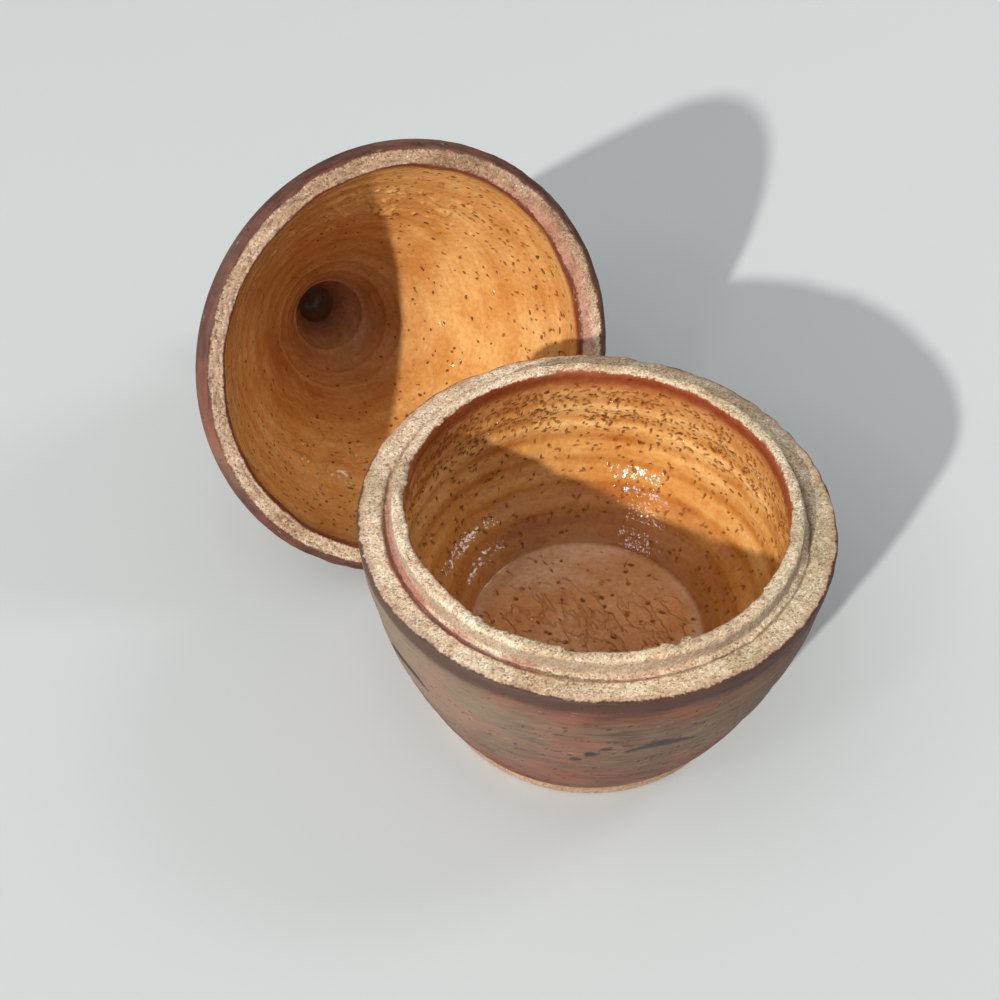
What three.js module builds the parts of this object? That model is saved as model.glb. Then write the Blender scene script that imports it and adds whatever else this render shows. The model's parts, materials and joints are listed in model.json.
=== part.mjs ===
// A thrown stoneware jar with its lid taken off and laid behind it, on its rim and its knob.
// Millimetres, +Z up. The origin is the middle of the pair's footprint, on the table.

import * as THREE from 'three';

// Jar
const JAR_RADIUS = 68.5; // widest place, just under the ledge
const LEDGE_HEIGHT = 73; // the lid's seat above the table
const RIM_ROUND = 1.2; // rounding of the ledge's outer edge
const WALL = 9;
const WALL_SWELL = 4; // how far the wall stands out from a straight cone, halfway up
const FLOOR_THICKNESS = 12;
const FLOOR_RADIUS = 36; // flat disc inside the jar
const FOOT_RADIUS = 47;
const FOOT_RING_WIDTH = 7;
const FOOT_RECESS = 8; // hollow turned under the foot
const FOOT_SLOPE = 3; // how far the recess draws in from the ring to its ceiling
const FOOT_BAND = 3; // height of the bare band round the foot
const FOOT_CHAMFER = 0.8;

// Gallery: the ledge, the groove and the collar that keeps the lid in place
const COLLAR_RADIUS = 59; // outside of the collar
const COLLAR_THICKNESS = 4;
const COLLAR_HEIGHT = 5.5;
const COLLAR_TAPER = 0.5;
const COLLAR_ROUND = 1.2;
const GROOVE_WIDTH = 2.6;
const GROOVE_DEPTH = 1;

// Lid
const LID_OVERHANG = 1.7; // the lid's edge stands this far past the jar's
const SEAT_CLEARANCE = 3; // between the collar and the lid's inner edge
const LID_HEIGHT = 111; // from the rim to the top of the knob
const LID_WALL = 7;
const LID_SKIRT = 7; // the inside runs this far square to the rim before it turns in
const SKIRT_TAPER = 1.4;
const LID_SWELL = 4; // how far the dome stands out from a straight cone, halfway up
const RIM_BEVEL = 2.3;
const EDGE_BAND = 2.7; // upright band above the bevel
const INNER_ROUND = 0.8;

// Knob, thrown hollow in one with the lid
const KNOB_RADIUS = 23.5;
const KNOB_HEIGHT = 24; // from the neck to the top
const KNOB_CROWN = 10; // height of the rounded top
const KNOB_WALL = 17;
const KNOB_ROOF = 8;
const NECK_RADIUS = 17;

// Throwing ridge, one unbroken spiral up the inside of each piece
const RIDGE_PITCH = 9;
const RIDGE_HEIGHT = 0.7;
const RIDGE_STEPS = 4; // points to a pitch

// Where the lid lies
const LID_SIDEWAYS = -15.7; // middle of its mouth, left of the jar's axis
const LID_GAP = 9; // from the jar to the plane of its mouth

const SIDES = 40; // points round a piece, a multiple of four so that one lies at its lowest

const point = (radius, height) => new THREE.Vector2(radius, height);

/** One stretch of a profile: its curve, its steps, and the height of the ridge on it. */
function stretch(curve, steps, ridge = 0) {
  return { curve, steps, ridge };
}

/** A profile's stretch along straight lines from corner to corner. */
function corners(...points) {
  return points.slice(1).map((end, i) => stretch(new THREE.LineCurve(points[i], end), 1));
}

/** A ridged stretch, with steps short enough to carry the ridge. */
function ridged(curve) {
  const steps = Math.ceil((curve.getLength() / RIDGE_PITCH) * RIDGE_STEPS);
  return stretch(curve, steps, RIDGE_HEIGHT);
}

/** A curve between two points that stands out from the straight line by swell at its middle. */
function swelling(start, end, swell) {
  const along = end.clone().sub(start).normalize();
  const outward = point(along.y, -along.x);
  const middle = start.clone().lerp(end, 0.5).addScaledVector(outward, 2 * swell);
  return new THREE.QuadraticBezierCurve(start, middle, end);
}

/** The point a wall's thickness inside an outer curve, at a share of its length. */
function inside(curve, share, thickness) {
  const heading = curve.getTangentAt(share);
  return curve.getPointAt(share).add(point(-heading.y, heading.x).multiplyScalar(thickness));
}

/** A profile's points, each with the way out of the clay and the ridge that it carries. */
function ringsOf(profile) {
  const rings = [];
  for (const { curve, steps, ridge } of profile) {
    const length = curve.getLength();
    for (let i = 0; i < steps; i++) {
      const share = i / steps;
      const heading = curve.getTangentAt(share);
      rings.push({
        place: curve.getPointAt(share),
        outward: point(heading.y, -heading.x),
        along: share * length,
        ridge: ridge * Math.sin(Math.PI * share),
      });
    }
  }
  return rings;
}

/**
 * A closed solid of revolution. The profile starts and ends on the axis with the clay on its left,
 * and the ridge advances by one pitch in each turn.
 */
function thrown(profile) {
  const [start, ...rings] = ringsOf(profile);
  const end = profile[profile.length - 1].curve.getPointAt(1);
  const vertices = [0, 0, start.place.y];
  for (const { place, outward, along, ridge } of rings) {
    for (let k = 0; k < SIDES; k++) {
      const angle = (2 * Math.PI * k) / SIDES;
      const wave = (1 + Math.cos((2 * Math.PI * along) / RIDGE_PITCH - angle)) / 2;
      const radius = place.x + outward.x * ridge * wave;
      const height = place.y + outward.y * ridge * wave;
      vertices.push(radius * Math.cos(angle), radius * Math.sin(angle), height);
    }
  }
  vertices.push(0, 0, end.y);

  const last = 1 + rings.length * SIDES;
  const at = (ring, k) => 1 + ring * SIDES + (k % SIDES);
  const faces = [];
  for (let k = 0; k < SIDES; k++) {
    faces.push(0, at(0, k + 1), at(0, k));
    for (let ring = 0; ring < rings.length - 1; ring++) {
      faces.push(at(ring, k), at(ring, k + 1), at(ring + 1, k + 1));
      faces.push(at(ring, k), at(ring + 1, k + 1), at(ring + 1, k));
    }
    faces.push(at(rings.length - 1, k), at(rings.length - 1, k + 1), last);
  }

  const geometry = new THREE.BufferGeometry();
  geometry.setAttribute('position', new THREE.Float32BufferAttribute(vertices, 3));
  geometry.setIndex(faces);
  geometry.computeVertexNormals();
  return geometry;
}

/** The jar's profile, from the middle of the foot recess round to the middle of the floor. */
function jarProfile() {
  const ringInside = FOOT_RADIUS - FOOT_RING_WIDTH;
  const floor = FOOT_RECESS + FLOOR_THICKNESS;
  const mouth = COLLAR_RADIUS - COLLAR_THICKNESS;
  const collarTop = LEDGE_HEIGHT + COLLAR_HEIGHT;
  const shoulder = point(JAR_RADIUS, LEDGE_HEIGHT - RIM_ROUND);
  const wall = swelling(point(FOOT_RADIUS, FOOT_BAND), shoulder, WALL_SWELL);

  const ledge = point(JAR_RADIUS - RIM_ROUND, LEDGE_HEIGHT);
  const grooveEdge = point(COLLAR_RADIUS + GROOVE_WIDTH, LEDGE_HEIGHT);
  const grooveBottom = point(COLLAR_RADIUS + GROOVE_WIDTH / 2, LEDGE_HEIGHT - 2 * GROOVE_DEPTH);
  const collarFoot = point(COLLAR_RADIUS, LEDGE_HEIGHT);
  const collarSide = point(COLLAR_RADIUS - COLLAR_TAPER, collarTop - COLLAR_ROUND);
  const collarBack = point(mouth, collarTop - COLLAR_ROUND);
  const collarCorner = point(COLLAR_RADIUS - COLLAR_TAPER, collarTop);
  const mouthCorner = point(mouth, collarTop);
  const crestOut = point(collarSide.x - COLLAR_ROUND, collarTop);
  const crestIn = point(mouth + COLLAR_ROUND, collarTop);

  const throat = point(mouth, LEDGE_HEIGHT);
  const inner = new THREE.SplineCurve([
    throat,
    inside(wall, 0.7, WALL),
    inside(wall, 0.45, WALL),
    point(FLOOR_RADIUS, floor),
  ]);

  return [
    ...corners(
      point(0, FOOT_RECESS),
      point(ringInside - FOOT_SLOPE, FOOT_RECESS),
      point(ringInside, 0),
      point(FOOT_RADIUS - FOOT_CHAMFER, 0),
      point(FOOT_RADIUS, FOOT_CHAMFER),
      point(FOOT_RADIUS, FOOT_BAND),
    ),
    stretch(wall, 9),
    stretch(new THREE.QuadraticBezierCurve(shoulder, point(JAR_RADIUS, LEDGE_HEIGHT), ledge), 3),
    ...corners(ledge, grooveEdge),
    stretch(new THREE.QuadraticBezierCurve(grooveEdge, grooveBottom, collarFoot), 3),
    ...corners(collarFoot, collarSide),
    stretch(new THREE.QuadraticBezierCurve(collarSide, collarCorner, crestOut), 2),
    ...corners(crestOut, crestIn),
    stretch(new THREE.QuadraticBezierCurve(crestIn, mouthCorner, collarBack), 2),
    ...corners(collarBack, throat),
    ridged(inner),
    ...corners(point(FLOOR_RADIUS, floor), point(0, floor)),
  ];
}

/** The lid's profile, rim down, from the end of the knob's hollow round to the top of the knob. */
function lidProfile() {
  const radius = JAR_RADIUS + LID_OVERHANG;
  const innerEdge = COLLAR_RADIUS + SEAT_CLEARANCE;
  const neckHeight = LID_HEIGHT - KNOB_HEIGHT;
  const knobWaist = LID_HEIGHT - KNOB_CROWN;
  const hollowTop = LID_HEIGHT - KNOB_ROOF;
  const hollowNeck = NECK_RADIUS - LID_WALL;
  const hollowRadius = KNOB_RADIUS - KNOB_WALL;

  const edgeLow = point(radius, RIM_BEVEL);
  const edgeHigh = point(radius - 0.3, RIM_BEVEL + EDGE_BAND);
  const neck = point(NECK_RADIUS, neckHeight);
  const dome = swelling(edgeHigh, neck, LID_SWELL);
  const knobSide = new THREE.CubicBezierCurve(
    neck,
    point(NECK_RADIUS, (neckHeight + knobWaist) / 2),
    point(KNOB_RADIUS, (neckHeight + knobWaist) / 2),
    point(KNOB_RADIUS, knobWaist),
  );
  const crown = new THREE.EllipseCurve(0, knobWaist, KNOB_RADIUS, KNOB_CROWN, 0, Math.PI / 2);

  const hollowMouth = inside(dome, 0.93, LID_WALL);
  const hollowWaist = point(hollowNeck, neckHeight + 1);
  const hollowBelly = point(hollowRadius, (hollowWaist.y + hollowTop) / 2);
  const hollowRoof = new THREE.QuadraticBezierCurve(
    point(0, hollowTop),
    point(hollowRadius, hollowTop),
    hollowBelly,
  );
  const hollowSide = new THREE.SplineCurve([hollowBelly, hollowWaist, hollowMouth]);
  const skirtTop = point(innerEdge - SKIRT_TAPER, LID_SKIRT);
  const inner = new THREE.SplineCurve([
    hollowMouth,
    inside(dome, 0.7, LID_WALL),
    inside(dome, 0.4, LID_WALL),
    skirtTop,
  ]);

  return [
    stretch(hollowRoof, 4),
    stretch(hollowSide, 5),
    ridged(inner),
    ...corners(
      skirtTop,
      point(innerEdge, INNER_ROUND),
      point(innerEdge + INNER_ROUND, 0),
      point(radius - RIM_BEVEL, 0),
      edgeLow,
      edgeHigh,
    ),
    stretch(dome, 9),
    stretch(knobSide, 5),
    stretch(crown, 6),
  ];
}

/** The angle at which a lid lies: that of the straight edge that touches both its rim and its knob. */
function lyingAngle(profile) {
  const outline = ringsOf(profile).map(({ place }) => place);
  let longest = 0;
  let angle = 0;
  for (const low of outline) {
    for (const high of outline) {
      const rise = high.y - low.y;
      if (rise <= longest) continue;
      const slope = (high.x - low.x) / rise;
      const touches = outline.every((p) => p.x <= low.x + slope * (p.y - low.y) + 1e-6);
      if (touches) {
        longest = rise;
        angle = Math.atan(-slope);
      }
    }
  }
  return angle;
}

/** The middle of the lying lid's mouth: the lid on the table, its mouth clear of the jar. */
function mouthPlace(jar, lid, angle) {
  const up = Math.sin(angle);
  const back = Math.cos(angle);
  const height = Math.max(...ringsOf(lid).map(({ place }) => place.x * back + place.y * up));
  const reach = ringsOf(jar).map(({ place }) => place.x + (LID_GAP - (place.y - height) * up) / back);
  return new THREE.Vector3(LID_SIDEWAYS, Math.max(...reach), height);
}

function piece(name, profile, color, roughness) {
  const material = new THREE.MeshStandardMaterial({ color, roughness, metalness: 0 });
  const mesh = new THREE.Mesh(thrown(profile), material);
  mesh.name = name;
  return mesh;
}

const jarShape = jarProfile();
const lidShape = lidProfile();
const jar = piece('jar_body', jarShape, 0x9a7458, 0.5);
const lid = piece('lid', lidShape, 0xb98a5c, 0.4);

const angle = lyingAngle(lidShape);
lid.position.copy(mouthPlace(jarShape, lidShape, angle));
lid.rotation.x = -(Math.PI / 2 + angle);

const pair = new THREE.Group();
pair.add(jar, lid);
const footprint = new THREE.Box3().setFromObject(pair, true);
pair.position.x = -(footprint.min.x + footprint.max.x) / 2;
pair.position.y = -(footprint.min.y + footprint.max.y) / 2;

const model = new THREE.Group();
model.add(pair);

export default model;
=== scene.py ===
import json
import math

import bpy
import numpy as np
from mathutils import Matrix, Vector


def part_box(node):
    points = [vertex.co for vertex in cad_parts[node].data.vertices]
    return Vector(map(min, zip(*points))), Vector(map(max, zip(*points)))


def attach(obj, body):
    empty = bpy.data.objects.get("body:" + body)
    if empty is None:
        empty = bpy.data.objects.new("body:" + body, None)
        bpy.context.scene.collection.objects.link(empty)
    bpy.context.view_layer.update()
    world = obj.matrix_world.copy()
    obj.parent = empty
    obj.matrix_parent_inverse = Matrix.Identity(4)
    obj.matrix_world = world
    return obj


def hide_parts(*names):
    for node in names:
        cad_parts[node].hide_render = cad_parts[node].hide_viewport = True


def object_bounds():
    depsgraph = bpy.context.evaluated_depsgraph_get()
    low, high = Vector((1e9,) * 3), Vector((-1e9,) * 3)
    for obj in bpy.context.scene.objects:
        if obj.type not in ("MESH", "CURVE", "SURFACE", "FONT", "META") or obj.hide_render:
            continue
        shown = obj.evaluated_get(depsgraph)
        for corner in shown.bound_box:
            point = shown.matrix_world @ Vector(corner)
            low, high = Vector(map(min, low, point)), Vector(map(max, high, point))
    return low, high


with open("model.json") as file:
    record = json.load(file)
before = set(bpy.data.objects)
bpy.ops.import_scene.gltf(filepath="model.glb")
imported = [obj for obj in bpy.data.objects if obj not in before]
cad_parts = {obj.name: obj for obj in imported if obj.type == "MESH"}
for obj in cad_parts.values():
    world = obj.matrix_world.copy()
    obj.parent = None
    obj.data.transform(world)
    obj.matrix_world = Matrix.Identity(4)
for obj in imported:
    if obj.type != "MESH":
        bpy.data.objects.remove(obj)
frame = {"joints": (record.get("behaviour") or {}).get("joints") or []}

CAD_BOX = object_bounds()
MM = 0.001
TAU = 2 * math.pi

# Jar, in millimetres, as in the part's source
JAR_RADIUS = 68.5
LEDGE_HEIGHT = 73
RIM_ROUND = 1.2
WALL = 9
WALL_SWELL = 4
FLOOR_THICKNESS = 12
FLOOR_RADIUS = 36
FOOT_RADIUS = 47
FOOT_RING_WIDTH = 7
FOOT_RECESS = 8
FOOT_SLOPE = 3
FOOT_BAND = 3
FOOT_CHAMFER = 0.8
COLLAR_RADIUS = 59
COLLAR_THICKNESS = 4
COLLAR_HEIGHT = 5.5
COLLAR_TAPER = 0.5
COLLAR_ROUND = 1.2
GROOVE_WIDTH = 2.6
GROOVE_DEPTH = 1
FLOOR_LIP = 1  # step down from the glazed wall to the floor disc

# Lid, in millimetres
LID_RADIUS = JAR_RADIUS + 1.7
LID_INNER_EDGE = COLLAR_RADIUS + 3
LID_HEIGHT = 111
LID_WALL = 7
LID_SKIRT = 7
SKIRT_TAPER = 1.4
LID_SWELL = 4
RIM_BEVEL = 2.3
EDGE_BAND = 2.7
INNER_ROUND = 0.8
KNOB_RADIUS = 23.5
KNOB_HEIGHT = 24
KNOB_CROWN = 10
KNOB_WALL = 17
KNOB_ROOF = 8
NECK_RADIUS = 17

# Throwing ridge, with the finer lines on it and between its turns
RIDGE_PITCH = 9
JAR_RIDGE = 0.5
LID_RIDGE = 0.2
POOL_PITCH = 4.1
FINE_PITCH = 1.9
JAR_FINE_RIDGE = 0.05
LID_FINE_RIDGE = 0.03

# Grit of the bare clay, and pits and lumps of the glaze
GRIT_SIZE = 1.2
GRIT_HEIGHT = 0.07
PIT_DEPTH = 0.35
LUMP_BEARING = 121  # on the lid, in degrees from its own +X towards its +Y
LUMP_PLACE = 51  # down the lid's inside from its throat
LUMP_RADIUS = 50  # the lid's inside radius there
LUMP_HEIGHT = 1.7
LUMP_LENGTH = 4.5
LUMP_WIDTH = 5

# Fineness of the meshes
AROUND = 720
COARSE_STEP = 0.7
FINE_STEP = 0.5
LIP_STEP = 0.2
COARSE = ("recess", "recess_side", "foot_ring", "wall", "dome", "knob", "crown", "roof")
STREAK_RADIUS = 20  # the wrapped coordinates go round a cylinder of this radius

# Hand-made irregularity, and where it lies
HOLLOW_DRIFT = -2.7  # the knob's hollow is off the lid's axis
EDGE_DRIFT = 3  # the lid's inner edge comes in by this much on one side
EDGE_BEARING = 8
KNOB_REST = 0.5  # worn off round the knob's crown, on which the lid lies
THROAT_RINGS = [(13, 0.5), (19, 0.3), (23, 0.25)]  # radius and height of the lines round the throat
FRONT = -118  # bearing of the jar's front, in degrees from +X towards +Y

# Brushed marks round the jar
ARCHES = 5
ARCH_OFFSET = 16  # degrees from the front to the first
ARCH_PLACE = 45  # up the wall
ARCH_WANDER = 3  # up and down from one arch to the next
ARCH_LENGTH = 21
ARCH_WIDTH = 3.8
ARCH_RISE = 3.6
DOTS = 3
DOT_LENGTH = 3.6
DOT_WIDTH = 2.4
DOT_OFFSET = 14  # degrees from the arch's middle to the first dot
DOT_STEP = 3.6  # degrees from one dot to the next
DOT_RISE = 3  # of the first dot above its arch's place
DOT_DROP = 4
GOLDEN_ANGLE = 2.4


# Profiles

def point(radius, height):
    return np.array([radius, height], float)


def line(start, end):
    share = np.linspace(0, 1, 200)[:, None]
    return start + (end - start) * share


def bend(start, middle, end):
    t = np.linspace(0, 1, 200)[:, None]
    return start * (1 - t) ** 2 + middle * 2 * t * (1 - t) + end * t ** 2


def cubic(a, b, c, d):
    t = np.linspace(0, 1, 200)[:, None]
    return a * (1 - t) ** 3 + b * 3 * t * (1 - t) ** 2 + c * 3 * t ** 2 * (1 - t) + d * t ** 3


def spline(points):
    """A smooth curve through the points, with each end's tangent along its first chord."""
    ends = [points[0], *points, points[-1]]
    t = np.linspace(0, 1, 100)[:, None]
    parts = []
    for p0, p1, p2, p3 in zip(ends, ends[1:], ends[2:], ends[3:]):
        v0 = (p2 - p0) / 2
        v1 = (p3 - p1) / 2
        parts.append((2 * p1 - 2 * p2 + v0 + v1) * t ** 3
                     + (-3 * p1 + 3 * p2 - 2 * v0 - v1) * t ** 2 + v0 * t + p1)
    return np.concatenate(parts)


def swelling(start, end, swell):
    along = (end - start) / np.linalg.norm(end - start)
    middle = (start + end) / 2 + 2 * swell * point(along[1], -along[0])
    return bend(start, middle, end)


def lengths(curve):
    steps = np.linalg.norm(np.diff(curve, axis=0), axis=1)
    return np.concatenate([[0], np.cumsum(steps)])


def inside(curve, share, thickness):
    """The point a wall's thickness inside an outer curve, at a share of its length."""
    along = lengths(curve)
    i = min(np.searchsorted(along, share * along[-1]), len(curve) - 2)
    heading = (curve[i + 1] - curve[i - 1]) / np.linalg.norm(curve[i + 1] - curve[i - 1])
    return curve[i] + thickness * point(-heading[1], heading[0])


def jar_profile():
    """The jar's outline as named stretches, from under the foot round to the middle of the floor."""
    ring_inside = FOOT_RADIUS - FOOT_RING_WIDTH
    floor = FOOT_RECESS + FLOOR_THICKNESS
    mouth = COLLAR_RADIUS - COLLAR_THICKNESS
    top = LEDGE_HEIGHT + COLLAR_HEIGHT
    shoulder = point(JAR_RADIUS, LEDGE_HEIGHT - RIM_ROUND)
    ledge = point(JAR_RADIUS - RIM_ROUND, LEDGE_HEIGHT)
    wall = swelling(point(FOOT_RADIUS, FOOT_BAND), shoulder, WALL_SWELL)
    groove_edge = point(COLLAR_RADIUS + GROOVE_WIDTH, LEDGE_HEIGHT)
    groove_bottom = point(COLLAR_RADIUS + GROOVE_WIDTH / 2, LEDGE_HEIGHT - 2 * GROOVE_DEPTH)
    collar_foot = point(COLLAR_RADIUS, LEDGE_HEIGHT)
    collar_side = point(COLLAR_RADIUS - COLLAR_TAPER, top - COLLAR_ROUND)
    crest_out = point(collar_side[0] - COLLAR_ROUND, top)
    crest_in = point(mouth + COLLAR_ROUND, top)
    collar_back = point(mouth, top - COLLAR_ROUND)
    throat = point(mouth, LEDGE_HEIGHT)
    lip_high = point(FLOOR_RADIUS + 0.4, floor + FLOOR_LIP)
    lip_low = point(FLOOR_RADIUS - 1.2, floor)
    inner = spline([throat, inside(wall, 0.7, WALL), inside(wall, 0.45, WALL), lip_high])
    return [
        ("recess", line(point(0, FOOT_RECESS), point(ring_inside - FOOT_SLOPE, FOOT_RECESS))),
        ("recess_side", line(point(ring_inside - FOOT_SLOPE, FOOT_RECESS), point(ring_inside, 0))),
        ("foot_ring", line(point(ring_inside, 0), point(FOOT_RADIUS - FOOT_CHAMFER, 0))),
        ("chamfer", line(point(FOOT_RADIUS - FOOT_CHAMFER, 0), point(FOOT_RADIUS, FOOT_CHAMFER))),
        ("foot_band", line(point(FOOT_RADIUS, FOOT_CHAMFER), point(FOOT_RADIUS, FOOT_BAND))),
        ("wall", wall),
        ("edge", bend(shoulder, point(JAR_RADIUS, LEDGE_HEIGHT), ledge)),
        ("ledge", line(ledge, groove_edge)),
        ("groove", bend(groove_edge, groove_bottom, collar_foot)),
        ("collar", line(collar_foot, collar_side)),
        ("collar_out", bend(collar_side, point(COLLAR_RADIUS - COLLAR_TAPER, top), crest_out)),
        ("crest", line(crest_out, crest_in)),
        ("collar_in", bend(crest_in, point(mouth, top), collar_back)),
        ("throat", line(collar_back, throat)),
        ("inner", inner),
        ("lip", cubic(lip_high, point(FLOOR_RADIUS, floor + 0.6), point(FLOOR_RADIUS, floor), lip_low)),
        ("floor", line(lip_low, point(0, floor))),
    ]


def lid_profile():
    """The lid's outline, rim down, from the end of the knob's hollow round to the knob's top."""
    neck_height = LID_HEIGHT - KNOB_HEIGHT
    waist = LID_HEIGHT - KNOB_CROWN
    hollow_top = LID_HEIGHT - KNOB_ROOF
    hollow_radius = KNOB_RADIUS - KNOB_WALL
    half = (neck_height + waist) / 2
    edge_low = point(LID_RADIUS, RIM_BEVEL)
    edge_high = point(LID_RADIUS - 0.3, RIM_BEVEL + EDGE_BAND)
    neck = point(NECK_RADIUS, neck_height)
    dome = swelling(edge_high, neck, LID_SWELL)
    knob_side = cubic(neck, point(NECK_RADIUS, half), point(KNOB_RADIUS, half), point(KNOB_RADIUS, waist))
    turn = np.linspace(0, math.pi / 2, 200)
    crown = np.stack([KNOB_RADIUS * np.cos(turn), waist + KNOB_CROWN * np.sin(turn)], 1)
    hollow_mouth = inside(dome, 0.93, LID_WALL)
    hollow_waist = point(NECK_RADIUS - LID_WALL, neck_height + 1)
    belly = point(hollow_radius, (hollow_waist[1] + hollow_top) / 2)
    roof = bend(point(0, hollow_top), point(hollow_radius, hollow_top), belly)
    skirt_top = point(LID_INNER_EDGE - SKIRT_TAPER, LID_SKIRT)
    inner = spline([hollow_mouth, inside(dome, 0.7, LID_WALL), inside(dome, 0.4, LID_WALL), skirt_top])
    inner_edge = point(LID_INNER_EDGE, INNER_ROUND)
    rim_in = point(LID_INNER_EDGE + INNER_ROUND, 0)
    rim_out = point(LID_RADIUS - RIM_BEVEL, 0)
    return [
        ("roof", roof),
        ("hollow", spline([belly, hollow_waist, hollow_mouth])),
        ("inner", inner),
        ("skirt", line(skirt_top, inner_edge)),
        ("inner_edge", line(inner_edge, rim_in)),
        ("rim", line(rim_in, rim_out)),
        ("bevel", line(rim_out, edge_low)),
        ("band", line(edge_low, edge_high)),
        ("dome", dome),
        ("knob", knob_side),
        ("crown", crown),
    ]


def step_of(name):
    if name == "lip":
        return LIP_STEP
    return COARSE_STEP if name in COARSE else FINE_STEP


class Pot:
    """A profile resampled into rings, on a grid of rings by points round the piece."""

    def __init__(self, stretches):
        places, names = [], []
        for name, curve in stretches:
            along = lengths(curve)
            count = max(3, math.ceil(along[-1] / step_of(name)))
            at = np.linspace(0, along[-1], count, endpoint=False)
            places.append(np.stack([np.interp(at, along, curve[:, k]) for k in (0, 1)], 1))
            names += [name] * count
        places.append(stretches[-1][1][-1:])
        names.append(stretches[-1][0])
        self.place = np.concatenate(places)
        self.names = np.array(names)
        self.along = lengths(self.place)
        heading = np.gradient(self.place, axis=0)
        heading /= np.linalg.norm(heading, axis=1)[:, None]
        self.outward = np.stack([heading[:, 1], -heading[:, 0]], 1)
        self.angle = np.arange(AROUND) * TAU / AROUND
        self.shape = (len(self.place), AROUND)
        self.lift = np.zeros(self.shape)
        self.reach = np.zeros(self.shape)
        self.drift = np.zeros((len(self.place), 2))
        self.masks = {}

    def start(self, name):
        return self.along[self.names == name][0]

    def end(self, name):
        return self.along[min(np.flatnonzero(self.names == name)[-1] + 1, len(self.along) - 1)]

    def at_radius(self, first, last, radius):
        """The place along the profile, from one stretch to another, that is nearest to a radius."""
        chosen = (self.along >= self.start(first)) & (self.along <= self.end(last))
        away = np.where(chosen, abs(self.place[:, 0] - radius), np.inf)
        return self.along[away.argmin()]

    def between(self, first, last, soft=1.5):
        """1 on the rings from one stretch to another, falling to 0 over a soft margin inside them."""
        return self.window(self.start(first), self.end(last), soft)

    def window(self, low, high, soft):
        """1 on the rings between two places along the profile, with soft ends inside them."""
        rise = np.clip((self.along - low) / soft, 0, 1)
        fall = np.clip((high - self.along) / soft, 0, 1)
        band = rise * fall
        return (band * band * (3 - 2 * band))[:, None]

    def hump(self, middle, width):
        """A rounded hump along the profile, 1 at its middle."""
        return np.exp(-((self.along - middle) / width) ** 2)[:, None]

    def field(self, seed, along, around):
        """A smooth random field with unit spread, and lumps of these sizes in millimetres."""
        even = np.arange(0, self.along[-1] + FINE_STEP, FINE_STEP)
        noise = np.random.default_rng(seed).standard_normal((len(even), AROUND))
        rows = np.fft.fftfreq(len(even), FINE_STEP)[:, None]
        columns = np.fft.fftfreq(AROUND, TAU * JAR_RADIUS / AROUND)[None]
        keep = np.exp(-2 * math.pi ** 2 * ((rows * along / 2) ** 2 + (columns * around / 2) ** 2))
        smooth = np.fft.ifft2(np.fft.fft2(noise) * keep).real
        smooth /= smooth.std()
        at = self.along / FINE_STEP
        low = np.minimum(at.astype(int), len(even) - 2)
        share = (at - low)[:, None]
        return smooth[low] * (1 - share) + smooth[low + 1] * share

    def spiral(self, pitch, wobble=0):
        phase = TAU * self.along[:, None] / pitch - self.angle[None] + wobble
        return (1 + np.cos(phase)) / 2

    def facing(self, bearing):
        """1 on the side at this bearing, in degrees from +X towards +Y, and 0 on the far side."""
        return ((1 + np.cos(self.angle - math.radians(bearing))) / 2)[None]

    def marks(self, seed, count, chance, length, width, slant, spread):
        """Short curved marks scattered by chance, as a mask; slant is counted from the ring, in degrees."""
        rng = np.random.default_rng(seed)
        area = np.maximum(self.place[:, :1], 1) * np.gradient(self.along)[:, None]
        weight = np.broadcast_to(chance * area, self.shape)
        spots = rng.choice(weight.size, count, p=(weight / weight.sum()).ravel())
        mask = np.zeros(self.shape)
        for ring, turn in zip(*np.divmod(spots, AROUND)):
            long, wide = rng.uniform(*length), rng.uniform(*width)
            lean = math.radians(rng.normal(slant, spread))
            curl = rng.uniform(-0.5, 0.5) / long
            arc = TAU * max(self.place[ring, 0], 8) / AROUND
            span = math.ceil(1.3 * long / arc)
            rows = np.flatnonzero(abs(self.along - self.along[ring]) < 1.3 * long)
            columns = np.arange(-span, span + 1)
            across = (columns * arc)[None]
            down = (self.along[rows] - self.along[ring])[:, None]
            u = across * math.cos(lean) + down * math.sin(lean)
            v = down * math.cos(lean) - across * math.sin(lean) + curl * u ** 2
            mark = rng.uniform(0.32, 1) * np.exp(-((u / long) ** 2 + (v / wide) ** 2) ** 1.5)
            spot = np.ix_(rows, (turn + columns) % AROUND)
            mask[spot] = np.maximum(mask[spot], mark)
        return mask

    def scores(self, seed, count, stretch, length, width, heading, spread):
        """Straight scores across a flat disc, laid out on its plane, as a mask."""
        rng = np.random.default_rng(seed)
        rings = np.flatnonzero(self.names == stretch)
        radius = self.place[rings, :1]
        x, y = radius * np.cos(self.angle), radius * np.sin(self.angle)
        mask = np.zeros(self.shape)
        for _ in range(count):
            far = radius.max() * math.sqrt(rng.uniform(0, 0.95))
            turn = rng.uniform(0, TAU)
            lean = math.radians(rng.normal(heading, spread))
            long, wide = rng.uniform(*length), rng.uniform(*width)
            dx, dy = x - far * math.cos(turn), y - far * math.sin(turn)
            u = dx * math.cos(lean) + dy * math.sin(lean)
            v = dy * math.cos(lean) - dx * math.sin(lean) + rng.uniform(-0.1, 0.1) / long * u ** 2
            mark = rng.uniform(0.5, 1) * np.exp(-((u / long) ** 2 + (v / wide) ** 2) ** 1.5)
            mask[rings] = np.maximum(mask[rings], mark)
        return mask

    def turned(self, bearing):
        """The angle from this bearing, from half a turn one way to half a turn the other."""
        return (self.angle - math.radians(bearing) + math.pi) % TAU - math.pi

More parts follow.
